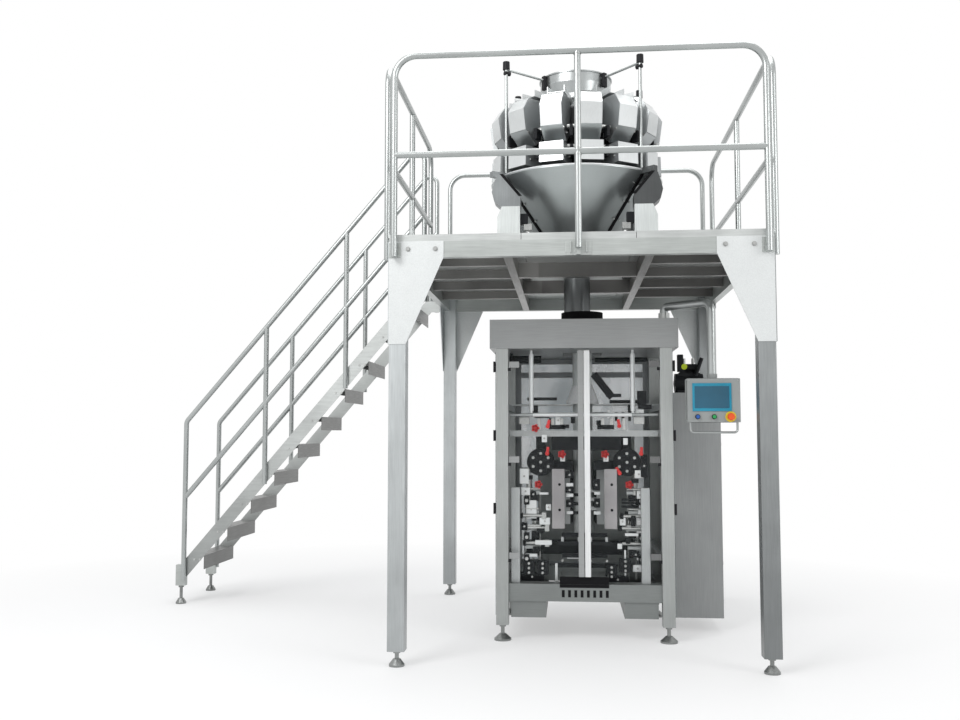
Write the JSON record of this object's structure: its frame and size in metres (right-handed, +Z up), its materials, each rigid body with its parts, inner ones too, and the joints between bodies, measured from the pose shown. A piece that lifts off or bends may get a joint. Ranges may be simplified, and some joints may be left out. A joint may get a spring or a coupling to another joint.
{
  "type": "multihead weigher packing system",
  "caption": "Radial multihead weigher on a railed steel work platform with stair, above the bag forming, filling and sealing machine that it feeds.",
  "frame": {"origin": "middle of the whole's outline on the floor, under the outermost points of stair and platform", "axes": "+X from the stair's foot towards the control panel's side, +Y from the doors at the front to the back, +Z up"},
  "size_m": [4.2718, 2.788, 3.864],
  "materials": {
    "aluminium": "anodised profile",
    "belt_rubber": "rubber",
    "black_plastic": "moulded",
    "button": "push buttons",
    "cabinet_steel": "brushed stainless steel",
    "clear_sheet": "clear sheet",
    "dark_machine": "dark paint",
    "deck_steel": "brushed stainless steel",
    "foot_steel": "zinc plated steel",
    "frame_steel": "brushed stainless steel",
    "hopper_steel": "brushed stainless steel",
    "panel_steel": "brushed stainless steel",
    "rail_steel": "polished stainless tube",
    "screen": "touch screen"
  },
  "bodies": {
    "frame": {"levelling_feet": "foot_steel", "platform_legs": "frame_steel", "platform_beams": "frame_steel", "main_joists": "frame_steel", "deck_ribs": "frame_steel", "gussets_front_rear": "frame_steel", "gussets_sides": "frame_steel", "deck_panels": "deck_steel", "stair_stringers": "frame_steel", "stair_shoes": "frame_steel", "stair_treads": "deck_steel", "rail_brackets": "frame_steel", "rail_posts": "rail_steel", "rail_bends": "rail_steel", "top_and_mid_rails": "rail_steel", "weigher_columns": "frame_steel", "weigher_arms": "frame_steel", "drum_spokes": "frame_steel", "weigher_drum": "panel_steel", "weigher_drives": "black_plastic", "hopper_sides": "hopper_steel", "hopper_walls": "hopper_steel", "hopper_gates": "hopper_steel", "feeder_pans": "hopper_steel", "feeder_pan_sides": "hopper_steel", "spreading_cone": "hopper_steel", "infeed_ring": "hopper_steel", "ring_stand": "rail_steel", "discharge_cone": "panel_steel", "chute_outlet": "panel_steel", "bagger_posts": "frame_steel", "bagger_header": "panel_steel", "base_cross_boxes": "panel_steel", "bagger_side_rails": "frame_steel", "base_boxes": "panel_steel", "side_covers": "clear_sheet", "electrical_cabinet": "cabinet_steel", "film_motor": "dark_machine", "inlet_collar": "black_plastic", "forming_tube": "panel_steel", "bracket_plates": "aluminium", "forming_shoulder": "panel_steel", "cross_rails": "aluminium", "back_plate": "aluminium", "inner_rods": "rail_steel", "belt_beam": "dark_machine", "belt_drives": "dark_machine", "film_belts": "belt_rubber", "seal_jaws": "dark_machine", "door_hinges": "black_plastic", "panel_arm_base": "panel_steel"},
    "door_left": {"door_left_sheet": "clear_sheet", "door_left_frame": "aluminium"},
    "door_right": {"door_right_sheet": "clear_sheet", "door_right_frame": "aluminium"},
    "panel_arm": {"panel_arm": "panel_steel"},
    "control_panel": {"control_panel": "panel_steel", "panel_screen": "screen", "panel_buttons": "button", "panel_handle": "rail_steel"}
  },
  "joints": [
    {"name": "door_left_hinge", "type": "hinge", "parent": "frame", "child": "door_left", "pos_m": [0.5481, -0.536, 1.135], "axis": [0, 0, -1], "range_deg": [0, 95]},
    {"name": "door_right_hinge", "type": "hinge", "parent": "frame", "child": "door_right", "pos_m": [1.5031, -0.536, 1.135], "axis": [0, 0, 1], "range_deg": [0, 95]},
    {"name": "panel_arm_swing", "type": "hinge", "parent": "frame", "child": "panel_arm", "pos_m": [1.5516, -0.465, 2.105], "axis": [0, 0, 1], "range_deg": [0, 40]},
    {"name": "panel_swivel", "type": "hinge", "parent": "panel_arm", "child": "control_panel", "pos_m": [1.8176, -0.725, 1.692], "axis": [0, 0, 1], "range_deg": [-60, 60]}
  ]
}
